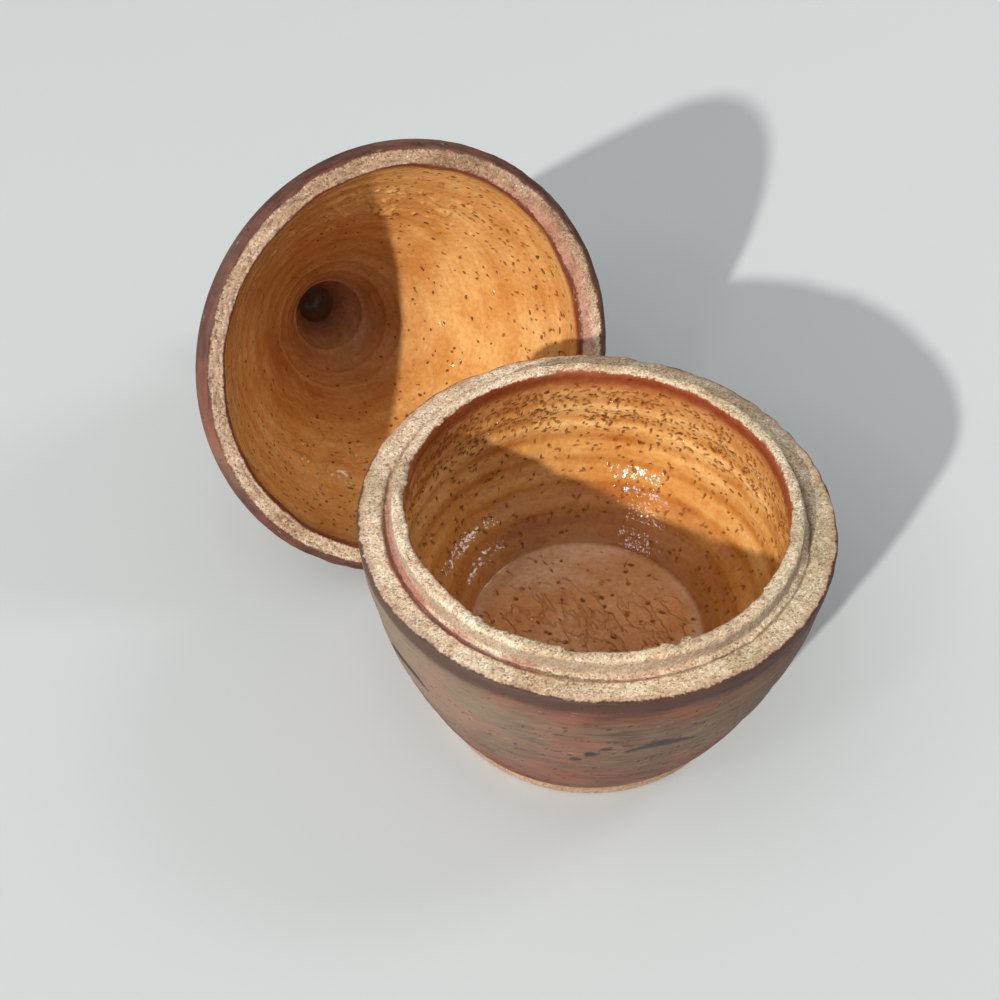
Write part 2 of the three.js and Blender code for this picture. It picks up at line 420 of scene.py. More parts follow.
    def stroke(self, bearing, place, length, width, arch):
        """A tapered brush stroke along the ring, arched upwards by this much, as a mask."""
        u = self.turned(bearing)[None] * self.place[:, :1] * 2 / length
        v = self.along[:, None] - place - arch * (1 - u ** 2)
        half = width / 2 * np.sqrt(np.clip(1 - u ** 2, 0, 1)) * (1.1 - 0.3 * u)
        return np.clip((half - abs(v)) / 0.6 + 0.4, 0, 1) * (abs(u) < 1)

    def flakes(self, seed, count, depth):
        """Overlapping flakes round an edge: each starts with a step and runs out, in millimetres."""
        rng = np.random.default_rng(seed)
        starts = np.sort(rng.uniform(0, TAU, count))
        starts = np.concatenate([starts, [starts[0] + TAU]])
        turned = np.where(self.angle < starts[0], self.angle + TAU, self.angle)
        which = np.searchsorted(starts, turned, side="right") - 1
        share = (turned - starts[which]) / (starts[which + 1] - starts[which])
        high = rng.uniform(-0.5, 0.5, count)[which] * depth
        return (high * (1 - share ** 2))[None]

    def mesh(self, name, matrix):
        """A mesh of the rings, with the piece's own coordinates and masks kept as attributes."""
        radius = self.place[:, :1] + self.outward[:, :1] * self.lift + self.reach
        height = self.place[:, 1:] + self.outward[:, 1:] * self.lift
        radius[[0, -1]] = 0
        ware = np.stack([radius * np.cos(self.angle) + self.drift[:, :1],
                         radius * np.sin(self.angle) + self.drift[:, 1:], height], 2) * MM
        ware = on_points(ware)
        rings = self.shape[0] - 2
        k = np.arange(AROUND)
        after = (k + 1) % AROUND
        base = (np.arange(rings - 1) * AROUND)[:, None]
        quads = np.stack([base + k, base + after, base + AROUND + after, base + AROUND + k], 2)
        low = np.stack([np.full(AROUND, rings * AROUND), after, k], 1)
        last = (rings - 1) * AROUND
        high = np.stack([last + k, last + after, np.full(AROUND, rings * AROUND + 1)], 1)
        mesh = bpy.data.meshes.new(name)
        faces = quads.reshape(-1, 4).tolist() + low.tolist() + high.tolist()
        turned = ware @ np.array(matrix.to_3x3()).T + np.array(matrix.translation)
        mesh.from_pydata(turned.tolist(), [], faces)
        mesh.polygons.foreach_set("use_smooth", np.ones(len(mesh.polygons), bool))
        add_attribute(mesh, "ware", "FLOAT_VECTOR", "vector", ware)
        x = STREAK_RADIUS * np.cos(self.angle)
        y = STREAK_RADIUS * np.sin(self.angle)
        wrapped = np.broadcast_arrays(x, y, self.along[:, None])
        streak = on_points(np.stack(wrapped, 2) * MM)
        add_attribute(mesh, "streak", "FLOAT_VECTOR", "vector", streak)
        for mask, values in self.masks.items():
            add_attribute(mesh, mask, "FLOAT", "value", on_points(values[..., None]))
        mesh.update()
        return mesh


def on_points(grid):
    """A grid of values as a mesh's points: the rings between the ends, and one point for each end."""
    ends = grid[[0, -1]].mean(1)
    return np.concatenate([grid[1:-1].reshape(-1, grid.shape[2]), ends])


def add_attribute(mesh, name, kind, field, values):
    attribute = mesh.attributes.new(name, kind, "POINT")
    attribute.data.foreach_set(field, values.astype(np.float32).ravel())


# Shader graphs

def paint(red, green, blue):
    """A colour given in 0 to 255 as it looks on a screen, as the shader's linear values."""
    return tuple((c / 255 / 12.92) if c < 11 else ((c / 255 + 0.055) / 1.055) ** 2.4
                 for c in (red, green, blue)) + (1,)


class Graph:
    """A material's nodes, joined by short calls; each call gives back an output socket."""

    def __init__(self, name):
        self.material = bpy.data.materials.new(name)
        self.material.use_nodes = True
        self.tree = self.material.node_tree
        self.tree.nodes.clear()

    def put(self, socket, value):
        if isinstance(value, bpy.types.NodeSocket):
            self.tree.links.new(value, socket)
        else:
            socket.default_value = value

    def node(self, kind, inputs=None, **settings):
        node = self.tree.nodes.new(kind)
        for key, value in settings.items():
            setattr(node, key, value)
        for key, value in (inputs or {}).items():
            self.put(node.inputs[key], value)
        return node

    def attribute(self, name):
        return self.node("ShaderNodeAttribute", attribute_name=name).outputs["Vector"]

    def mask(self, name):
        return self.node("ShaderNodeAttribute", attribute_name=name).outputs["Fac"]

    def split(self, vector):
        node = self.node("ShaderNodeSeparateXYZ", {"Vector": vector})
        return [node.outputs[axis] for axis in "XYZ"]

    def stretch(self, vector, x, y, z):
        node = self.node("ShaderNodeVectorMath", {0: vector, 1: (x, y, z)}, operation="MULTIPLY")
        return node.outputs["Vector"]

    def lean(self, vector, x, y):
        """How far a vector lies along a level direction."""
        node = self.node("ShaderNodeVectorMath", {0: vector, 1: (x, y, 0)}, operation="DOT_PRODUCT")
        return node.outputs["Value"]

    def warp(self, vector, scale, amount):
        """A vector pushed about by noise, by up to about half the amount."""
        noise = self.node("ShaderNodeTexNoise", {"Vector": vector, "Scale": scale, "Detail": 2.0})
        push = self.node("ShaderNodeVectorMath", {0: noise.outputs["Color"], 1: (0.5, 0.5, 0.5)},
                         operation="SUBTRACT")
        scaled = self.stretch(push.outputs["Vector"], amount, amount, amount)
        return self.node("ShaderNodeVectorMath", {0: vector, 1: scaled}, operation="ADD").outputs["Vector"]

    def math(self, operation, a, b=0.0):
        return self.node("ShaderNodeMath", {0: a, 1: b}, operation=operation).outputs[0]

    def times(self, *values):
        product = values[0]
        for value in values[1:]:
            product = self.math("MULTIPLY", product, value)
        return product

    def sum(self, *values):
        total = values[0]
        for value in values[1:]:
            total = self.math("ADD", total, value)
        return total

    def noise(self, vector, scale, detail=3.0, roughness=0.5):
        node = self.node("ShaderNodeTexNoise", {"Vector": vector, "Scale": scale, "Detail": detail,
                                                "Roughness": roughness})
        return node.outputs["Fac"]

    def swing(self, vector, scale, amount, detail=3.0):
        """Noise about zero, up to half the amount each way."""
        return self.times(self.math("SUBTRACT", self.noise(vector, scale, detail, 0.6), 0.5), amount)

    def cells(self, vector, scale):
        """Scattered cells: the distance to the nearest seed, and a random value for each cell."""
        node = self.node("ShaderNodeTexVoronoi", {"Vector": vector, "Scale": scale})
        value = self.split(node.outputs["Color"])[0]
        return node.outputs["Distance"], value

    def rise(self, value, low, high):
        """0 below low and 1 above high, smooth between; high may lie below low."""
        inputs = {"Value": value, "From Min": low, "From Max": high}
        node = self.node("ShaderNodeMapRange", inputs, interpolation_type="SMOOTHSTEP")
        return node.outputs["Result"]

    def band(self, value, low, high, soft):
        up = self.rise(value, low - soft, low + soft)
        down = self.rise(value, high + soft, high - soft)
        return self.times(up, down)

    def mix(self, factor, a, b, blend="MIX"):
        """A colour between a and b: the node's inputs 6 and 7, and its output 2, are its colours."""
        node = self.node("ShaderNodeMix", data_type="RGBA", blend_type=blend)
        for key, value in ((0, factor), (6, a), (7, b)):
            self.put(node.inputs[key], value)
        return node.outputs[2]

    def blend(self, factor, a, b):
        """A number between a and b."""
        return self.node("ShaderNodeMix", {0: factor, 2: a, 3: b}, data_type="FLOAT").outputs[0]

    def ramp(self, value, stops):
        node = self.node("ShaderNodeValToRGB", {"Fac": value})
        points = node.color_ramp.elements
        while len(points) < len(stops):
            points.new(0.5)
        for element, (at, color) in zip(points, sorted(stops, key=lambda stop: stop[0])):
            element.position = at
            element.color = color
        return node.outputs["Color"]

    def shade(self, color, value, low, high, dark):
        """A colour multiplied by a tone that runs from dark, where value is low, to white at high."""
        tone = self.ramp(value, [(low, paint(*dark)), (high, paint(255, 255, 255))])
        return self.mix(1.0, color, tone, "MULTIPLY")

    def specks(self, vector, scale, size, share):
        """A mask of round specks: this share of the cells has one, up to this size of a cell."""
        distance, value = self.cells(vector, scale)
        reach = self.times(self.rise(value, 1 - share, 1), size)
        edge = self.math("SUBTRACT", reach, distance)
        return self.rise(edge, 0.0, size * 0.3)

    def bursts(self, vector, scale, size, share):
        """Burst bubbles: a mask of the holes, and one of the raised lips round them."""
        distance, value = self.cells(vector, scale)
        chosen = self.rise(value, 1 - share, 1.1 - share)
        edge = self.math("SUBTRACT", self.times(self.blend(value, 0.5, 1.0), size), distance)
        hole = self.times(chosen, self.rise(edge, 0.0, size * 0.3))
        outer = self.rise(edge, size * -0.7, 0.0)
        inner = self.rise(edge, size * 0.35, size * 0.1)
        lip = self.times(chosen, outer, inner)
        return hole, lip

    def layer(self, cover, below, above):
        """Two layers of colour, roughness and height in millimetres, the upper one where cover is 1."""
        return (self.mix(cover, below[0], above[0]), self.blend(cover, below[1], above[1]),
                self.blend(cover, below[2], above[2]))

    def finish(self, color, roughness, height):
        bump = self.node("ShaderNodeBump", {"Height": height, "Distance": MM, "Strength": 1.0})
        shader = self.node("ShaderNodeBsdfPrincipled", {
            "Base Color": color, "Roughness": roughness, "Specular IOR Level": 0.5,
            "Normal": bump.outputs["Normal"]})
        output = self.node("ShaderNodeOutputMaterial", {"Surface": shader.outputs["BSDF"]})
        output.is_active_output = True
        return self.material


# Surfaces that both pieces share. Each gives its colour, roughness and height in millimetres.

def length_ramp(g, along, total, stops):
    """A ramp along the profile, its stops given in millimetres."""
    share = g.math("DIVIDE", along, total * MM)
    return g.ramp(share, [(at / total, paint(*color)) for at, color in stops])


def sand(g, ware, tint_and_painted_light):
    """Bare gritty clay: fine pale grains, larger crystals and dark holes between them."""
    _, grain = g.cells(ware, 2100)
    color = g.ramp(grain, [
        (0.0, paint(158, 136, 116)),
        (0.16, paint(202, 182, 160)),
        (0.45, paint(226, 208, 184)),
        (0.8, paint(240, 226, 204)),
        (0.95, paint(255, 250, 240)),
    ])
    # The tint multiplies in painted light and shade as well as the clay's own tone.
    color = g.mix(1.0, color, tint_and_painted_light, "MULTIPLY")
    crystals = g.specks(ware, 1000, 0.42, 0.36)
    color = g.mix(g.times(crystals, 0.75), color, paint(248, 238, 218))
    holes = g.specks(g.warp(ware, 600, 1.2 * MM), 620, 0.26, 0.16)
    color = g.mix(g.times(holes, 0.7), color, paint(112, 84, 66))
    color = g.shade(color, g.noise(ware, 260, 4, 0.6), 0.3, 0.62, (232, 224, 216))
    color = g.shade(color, g.noise(ware, 70, 3, 0.6), 0.34, 0.56, (244, 232, 222))
    color = g.shade(color, g.noise(g.warp(ware, 90, 6 * MM), 44, 2, 0.5), 0.62, 0.48, (226, 222, 214))
    rough = g.blend(g.rise(grain, 0.9, 0.97), 0.75, 0.3)
    height = g.sum(g.times(grain, 0.07), g.times(crystals, 0.14), g.times(holes, -0.2),
                   g.times(g.noise(ware, 420, 3, 0.6), 0.25))
    return color, rough, height


def glaze(g, ware, streak, base, pitted):
    """Amber glaze with throwing rings, fine streaks along them, mottling, and dark burst pits."""
    rings = g.noise(g.stretch(streak, 0.35, 0.35, 1), 130, 5, 0.62)
    color = g.shade(base, rings, 0.36, 0.6, (240, 224, 204))
    streaks = g.noise(g.stretch(streak, 0.6, 0.6, 1), 700, 5, 0.7)
    color = g.shade(color, streaks, 0.36, 0.58, (249, 242, 233))
    color = g.shade(color, g.noise(ware, 46, 4, 0.6), 0.38, 0.6, (238, 220, 196))
    color = g.shade(color, g.noise(ware, 640, 3, 0.65), 0.36, 0.56, (243, 232, 220))
    color = g.shade(color, g.times(g.mask("pool"), g.noise(ware, 60, 3)), 0.6, 0.12, (218, 190, 156))
    pits = g.mask("pits")
    small = g.specks(g.warp(g.stretch(streak, 1.6, 1.6, 1), 500, 1.6 * MM), 520, 0.32, 0.4)
    small = g.times(small, pitted)
    holes, lips = g.bursts(g.warp(g.stretch(streak, 1.2, 1.2, 1), 300, 2 * MM), 380, 0.24, 0.16)
    holes = g.times(holes, pitted)
    lips = g.times(lips, pitted)
    color = g.mix(g.times(lips, 0.3), color, paint(226, 172, 110))
    color = g.mix(g.times(g.rise(pits, 0.04, 0.34), 0.8), color, paint(160, 92, 42))
    dark = g.math("MAXIMUM", g.math("MAXIMUM", pits, small), holes)
    color = g.mix(g.times(g.rise(dark, 0.28, 0.72), 0.78), color, paint(82, 44, 20))
    rough = g.blend(g.noise(ware, 300, 2), 0.04, 0.08)
    rims = g.band(pits, 0.1, 0.3, 0.08)
    height = g.sum(g.times(rings, 0.16), g.times(streaks, 0.05), g.times(small, -0.3),
                   g.times(holes, -0.35), g.times(lips, 0.24), g.times(rims, 0.25),
                   g.times(g.noise(ware, 420, 2, 0.5), 0.38))
    return color, rough, height


def flashed_clay(g, ware, streak, base):
    """The fired outside: turning lines, an ashen haze, and specks drawn out along the lines."""
    lines = g.noise(g.stretch(streak, 0.5, 0.5, 1), 620, 5, 0.66)
    color = g.shade(base, lines, 0.34, 0.6, (192, 172, 160))
    haze = g.noise(g.stretch(streak, 1, 1, 0.6), 60, 4, 0.6)
    color = g.mix(g.times(g.rise(haze, 0.46, 0.66), 0.4), color, paint(132, 114, 90))
    blush = g.noise(g.stretch(ware, 1, 1, 1.6), 34, 3, 0.55)
    color = g.mix(g.times(g.rise(blush, 0.48, 0.7), 0.42), color, paint(148, 80, 60))
    specks = g.specks(g.warp(g.stretch(streak, 1, 1, 1.3), 500, 1.2 * MM), 420, 0.34, 0.26)
    specks = g.math("MAXIMUM", specks, g.rise(g.mask("specks"), 0.15, 0.5))
    color = g.mix(g.times(specks, 0.8), color, paint(70, 44, 34))
    pale = g.specks(g.stretch(streak, 1.4, 1.4, 1.6), 700, 0.3, 0.2)
    color = g.mix(g.times(pale, 0.3), color, paint(190, 168, 142))
    rough = g.blend(haze, 0.62, 0.8)
    height = g.sum(g.times(lines, 0.4), g.times(specks, -0.25), g.times(g.noise(ware, 700, 3, 0.6), 0.16))
    return color, rough, height


def jar_material(pot):
    g = Graph("jar_stoneware")
    ware = g.attribute("ware")
    streak = g.attribute("streak")
    along = g.split(streak)[2]
    total = pot.along[-1]
    at = pot.start
    wander = g.sum(g.swing(ware, 130, 2.4 * MM), g.swing(ware, 900, 1.6 * MM, 2))
    placed = g.sum(along, wander)
    right = g.lean(ware, 0.88, -0.474)
    front = g.lean(ware, -0.474, -0.88)
    reach = JAR_RADIUS * MM

    clay = flashed_clay(g, ware, streak, length_ramp(g, placed, total, [
        (at("wall"), (90, 44, 32)),
        (at("wall") + 3.4, (94, 46, 34)),
        (at("wall") + 5.4, (120, 66, 48)),
        (at("wall") + 15, (116, 76, 58)),
        (at("wall") + 29, (114, 83, 65)),
        (at("wall") + 45, (112, 87, 70)),
        (at("edge") - 13, (114, 87, 68)),
        (at("edge") - 8, (116, 79, 56)),
        (at("edge") - 6, (100, 61, 43)),
        (at("edge") - 4.4, (78, 46, 33)),
        (at("edge"), (70, 42, 31)),
        (at("ledge"), (84, 52, 39)),
    ]))
    # Painted light on the wall's left side, towards the key light: its middle is greyed and lightened.
    left_side_light = g.times(g.rise(right, 0.1 * reach, -0.9 * reach),
                  g.rise(along, (at("wall") + 18) * MM, (at("wall") + 46) * MM))
    clay = (g.mix(g.times(left_side_light, 0.5), clay[0], paint(150, 134, 114)), clay[1], clay[2])
    dark = g.band(placed, (at("edge") - 4) * MM, (at("ledge") + 1) * MM, 1.2 * MM)
    clay = (g.mix(g.times(dark, 0.8), clay[0], paint(70, 43, 32)), clay[1], clay[2])
    brush = g.times(g.mask("brush"), g.rise(g.noise(ware, 420, 4, 0.7), 0.2, 0.42))
    color = g.mix(g.times(brush, 0.94), clay[0], paint(44, 43, 40))
    clay = (color, clay[1], clay[2])

    # Painted light and shade on the sand: lighter on the left, towards the key light, darker and greyer on
    # the right and on the foot band; partly the sand's own greyer tone.
    tint_and_painted_light = g.mix(g.rise(right, 0, -0.8 * reach), paint(250, 242, 228), paint(255, 250, 242))
    tint_and_painted_light = g.mix(g.rise(right, 0.1 * reach, 0.9 * reach), tint_and_painted_light, paint(238, 236, 224))
    tint_and_painted_light = g.mix(g.rise(along, (at("wall") + 5) * MM, (at("wall") + 4) * MM), tint_and_painted_light, paint(206, 200, 190))
    gritty = sand(g, ware, tint_and_painted_light)
    groove = g.band(placed, (at("groove") - 0.4) * MM, (at("collar") + 0.2) * MM, 0.5 * MM)
    redness = g.times(groove, g.rise(g.noise(g.stretch(streak, 0.4, 0.4, 1), 300, 3), 0.36, 0.56),
                      g.rise(right, 0.7 * reach, -0.4 * reach))
    lit = g.mix(g.times(redness, 0.85), gritty[0], paint(158, 92, 76))
    # Painted shade on the collar's outer side, all round.
    painted_collar_shade = g.band(placed, (at("collar") + 0.2) * MM, (at("collar_out") - 0.4) * MM, 0.6 * MM)
    lit = g.mix(g.times(painted_collar_shade, 0.6), lit, paint(140, 118, 100))
    # A darker broken line in the groove.
    groove_dark_line = g.band(placed, (at("groove") + 0.7) * MM, (at("groove") + 1.5) * MM, 0.4 * MM)
    broken = g.rise(g.noise(streak, 90, 4, 0.7), 0.36, 0.56)
    lit = g.mix(g.times(groove_dark_line, broken, 0.7), lit, paint(112, 78, 60))
    outer = g.rise(placed, (at("ledge") + 2.2) * MM, (at("ledge") - 0.6) * MM)
    lit = g.mix(g.times(outer, 0.5), lit, paint(166, 122, 92))
    gritty = (lit, gritty[1], gritty[2])

    # The glaze runs lighter high on the inside wall and darker towards the floor; part of this is painted
    # light and shade of the inside.
    inside_color = length_ramp(g, g.sum(along, g.swing(ware, 200, 2 * MM)), total, [
        (at("throat"), (164, 100, 70)),
        (at("throat") + 1.4, (134, 66, 46)),
        (at("throat") + 3, (146, 80, 52)),
        (at("throat") + 5, (196, 140, 88)),
        (at("inner") + 5, (214, 166, 108)),
        (at("inner") + 16, (234, 194, 132)),
        (at("inner") + 34, (224, 180, 116)),
        (at("lip") - 15, (204, 152, 88)),
        (at("lip") - 5, (176, 122, 64)),
        (at("lip"), (172, 122, 78)),
        (at("floor"), (208, 178, 152)),
        (at("floor") + 14, (212, 182, 156)),
    ])
    puddle = g.times(g.rise(along, (at("floor") + 1) * MM, (at("floor") + 4) * MM),
                     g.rise(g.sum(front, g.swing(ware, 90, 26 * MM, 4)), -0.34 * reach, -0.12 * reach))
    inside_color = g.mix(g.times(puddle, 0.75), inside_color, paint(214, 160, 104))
    swells = g.math("SUBTRACT", g.noise(g.stretch(ware, 1, 0.5, 1), 150, 2, 0.5), 0.5)
    folds = g.times(puddle, g.rise(g.math("ABSOLUTE", swells), 0.03, 0.0))
    inside_color = g.mix(g.times(folds, 0.24), inside_color, paint(142, 84, 46))
    pitted = g.rise(along, (at("lip") - 2) * MM, at("inner") * MM)
    glazed = glaze(g, ware, streak, inside_color, pitted)
    glazed = (glazed[0], glazed[1], g.sum(glazed[2], g.times(folds, 0.3)))

    bare = g.band(placed, (at("edge") + 1.4) * MM, (at("throat") - 0.2) * MM, 0.35 * MM)
    foot = g.rise(placed, (at("wall") + 2.9) * MM, (at("wall") + 2.1) * MM)
    body = g.layer(g.rise(along, at("collar_in") * MM, (at("throat") + 0.4) * MM), clay, glazed)
    body = g.layer(g.math("MAXIMUM", bare, foot), body, gritty)
    return g.finish(*body)


def lid_material(pot):
    g = Graph("lid_stoneware")
    ware = g.attribute("ware")
    streak = g.attribute("streak")
    along = g.split(streak)[2]
    total = pot.along[-1]
    at = pot.start
    wander = g.sum(g.swing(ware, 130, 2.2 * MM), g.swing(ware, 900, 1.4 * MM, 2))
    placed = g.sum(along, wander)
    right = g.lean(ware, 1, 0)
    reach = LID_RADIUS * MM

    clay = flashed_clay(g, ware, streak, length_ramp(g, placed, total, [
        (at("bevel") - 1, (118, 72, 52)),
        (at("bevel") + 1, (92, 54, 40)),
        (at("dome"), (86, 52, 39)),
        (at("dome") + 8, (122, 86, 66)),
        (at("dome") + 40, (126, 98, 78)),
        (at("knob") - 6, (120, 80, 60)),
        (at("knob"), (108, 64, 48)),
        (at("crown"), (124, 92, 72)),
        (total, (138, 112, 90)),
    ]))

    # Painted light and shade on the rim's sand: lighter on its right and on its low side, darker and greyer
    # at its top and on its left; partly the rim's own greyer tone.
    tint_and_painted_light = g.mix(g.rise(right, -0.2 * reach, 0.9 * reach), paint(220, 202, 190), paint(255, 244, 232))
    tint_and_painted_light = g.mix(g.rise(g.lean(ware, 0, 1), 0.0, 0.9 * reach), tint_and_painted_light, paint(255, 242, 230))
    tint_and_painted_light = g.mix(g.rise(g.lean(ware, 0.4, -0.9), 0.3 * reach, 0.9 * reach), tint_and_painted_light, paint(208, 186, 170))
    gritty = sand(g, ware, tint_and_painted_light)
    blush = g.times(g.rise(placed, (at("rim") + 4) * MM, (at("rim") + 1) * MM),
                    g.rise(right, 0.35 * reach, 0.9 * reach))
    cracks = g.mask("cracks")
    color = g.mix(g.times(blush, 0.7), gritty[0], paint(190, 122, 98))
    color = g.mix(g.times(cracks, 0.75), color, paint(92, 62, 46))
    gritty = (color, gritty[1], gritty[2])

    inside_color = length_ramp(g, g.sum(along, g.swing(ware, 200, 2 * MM)), total, [
        # Painted light and shade in the knob's hollow: its funnel is paler than the glaze, standing in for
        # light that reaches it little, and its far end is darker, as painted shade.
        (0, (104, 74, 64)),
        (at("hollow") + 2, (196, 156, 128)),
        (at("inner") - 3, (214, 174, 136)),
        (at("inner") + 4, (206, 158, 108)),
        (at("inner") + 18, (214, 166, 106)),
        (at("inner") + 40, (228, 182, 118)),
        (at("skirt") - 2, (218, 170, 110)),
        (at("inner_edge") - 2.6, (206, 160, 106)),
        (at("inner_edge") - 0.9, (130, 70, 50)),
        (at("inner_edge") + 0.6, (120, 64, 48)),
    ])
    pitted = g.rise(along, (at("inner") + 4) * MM, (at("inner") + 30) * MM)
    glazed = glaze(g, ware, streak, inside_color, g.times(pitted, 0.8))

    bare = g.band(placed, (at("rim") + 0.1) * MM, (at("bevel") - 0.6) * MM, 0.35 * MM)
    body = g.layer(g.rise(along, (at("rim") + 1) * MM, at("inner_edge") * MM), clay, glazed)
    body = g.layer(bare, body, gritty)
    return g.finish(*body)


# Pieces

def add_piece(mesh, material, node, body):
    piece = bpy.data.objects.new(mesh.name, mesh)
    bpy.context.scene.collection.objects.link(piece)
    mesh.materials.append(material)
    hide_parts(node)
    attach(piece, body)
    return piece


def jar_place():
    low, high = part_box("jar_body")
    return Matrix.Translation(((low.x + high.x) / 2, (low.y + high.y) / 2, low.z))


def lid_place(pot):
    """The lying lid's place: its tilt from the way that it lifts, and its mouth from its box."""
    lift = next(joint for joint in frame["joints"] if joint["name"] == "lid_lift")["axis"]
    tilt = math.atan2(lift[1], lift[2])
    low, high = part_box("lid")
    radius, height = pot.place.T * MM
    top = (radius * math.cos(tilt) - height * math.sin(tilt)).max()
    near = (height * math.cos(tilt) - radius * math.sin(tilt)).min()
    mouth = Vector(((low.x + high.x) / 2, low.y - near, high.z - top))
    return Matrix.Translation(mouth) @ Matrix.Rotation(-(math.pi / 2 + tilt), 4, "X")


def brush_marks(pot):
    """Plain brushed arches round the wall, each with three dots running down beside it."""
    mask = np.zeros(pot.shape)
    for k in range(ARCHES):
        bearing = FRONT + ARCH_OFFSET + 360 * k / ARCHES
        place = pot.start("wall") + ARCH_PLACE + ARCH_WANDER * math.sin(GOLDEN_ANGLE * k)
        mask = np.maximum(mask, pot.stroke(bearing, place, ARCH_LENGTH, ARCH_WIDTH, ARCH_RISE))
        for dot in range(DOTS):
            beside = bearing - DOT_OFFSET - DOT_STEP * dot
            height = place + DOT_RISE - DOT_DROP * dot
            mask = np.maximum(mask, pot.stroke(beside, height, DOT_LENGTH, DOT_WIDTH, 0.2))
    return mask * pot.between("wall", "wall", 2)


def make_jar():
    """The jar's mesh: each field, set of marks and row of flakes starts with its seed."""
    pot = Pot(jar_profile())
    inner = pot.between("inner", "inner", 8)
    wobble = 0.5 * pot.field(3, 30, 60)
    ridge = pot.spiral(RIDGE_PITCH, wobble)
    pot.masks["pool"] = inner * (0.65 * (1 - ridge) + 0.35 * pot.spiral(POOL_PITCH, 2 * wobble))
    pot.lift += inner * JAR_RIDGE * ridge
    pot.lift += inner * JAR_FINE_RIDGE * pot.spiral(FINE_PITCH)
    pot.lift += pot.between("inner", "floor", 4) * 0.05 * pot.field(4, 3, 5)
    pot.lift += 0.7 * pot.hump(pot.start("inner") - 1.5, 2) * (1 + 0.3 * pot.field(22, 6, 12))

    upper = pot.window(pot.start("inner") - 1, pot.start("inner") + 22, 5)
    lower = pot.window(pot.start("inner"), pot.end("inner"), 4)
    pits = pot.marks(5, 2400, upper + 0.25 * lower,
                     length=(0.4, 0.95), width=(0.22, 0.36), slant=-40, spread=36)
    floor_pits = pot.scores(6, 46, "floor", length=(0.4, 0.9), width=(0.4, 0.7), heading=0, spread=90)
    floor_scores = pot.scores(12, 130, "floor",
                              length=(0.5, 1.9), width=(0.25, 0.42), heading=-66, spread=22)
    pot.masks["pits"] = np.maximum(np.maximum(pits, floor_pits), 0.42 * floor_scores)
    pot.lift += 0.5 * pot.marks(34, 220, upper, length=(0.8, 1.8), width=(0.5, 0.7), slant=-25, spread=40)
    pot.lift -= PIT_DEPTH * pits + 0.4 * floor_pits + 0.2 * floor_scores
    swirl = np.cos(3 * pot.angle[None] + pot.place[:, :1] / 4) * pot.place[:, :1] / FLOOR_RADIUS
    pot.lift += 0.12 * pot.between("floor", "floor", 3) * swirl

    bare = pot.between("ledge", "crest", 1)
    pot.lift += bare * (GRIT_HEIGHT * pot.field(7, GRIT_SIZE, GRIT_SIZE) + 0.08 * pot.field(8, 3, 14))
    grooves = np.cos(TAU * pot.along / 1.7)[:, None] * pot.between("groove", "groove", 1)
    pot.lift += 0.16 * grooves * (1 + 0.6 * pot.field(23, 6, 30))
    crest = pot.between("collar_out", "collar_in", 0.8)
    pot.lift += crest * np.minimum(0, 0.35 * pot.field(9, 8, 5) - 0.1)
    crest_edge = pot.hump(pot.start("collar_in") + 0.8, 1.6)
    pot.reach += crest_edge * (pot.flakes(24, 40, 2.2) + 0.12 * pot.field(25, 2, 2.5))
    edge = pot.hump(pot.start("edge") + 1, 1.4)
    pot.lift += edge * np.minimum(0, 0.2 * pot.field(26, 3, 3) - 0.1)

    wall = pot.between("wall", "edge", 4)
    pot.lift += wall * (0.12 * pot.field(10, 2.2, 60) + 0.1 * pot.field(11, 8, 20))
    pot.masks["brush"] = brush_marks(pot)
    mostly_middle = pot.window(pot.start("wall"), pot.end("wall") + 2, 20) + 0.1 * wall
    pot.masks["specks"] = pot.marks(32, 900, mostly_middle,
                                    length=(0.3, 0.9), width=(0.22, 0.42), slant=0, spread=30)
    pot.lift -= 0.15 * pot.masks["specks"]
    return add_piece(pot.mesh("thrown_jar", jar_place()), jar_material(pot), "jar_body", "jar")


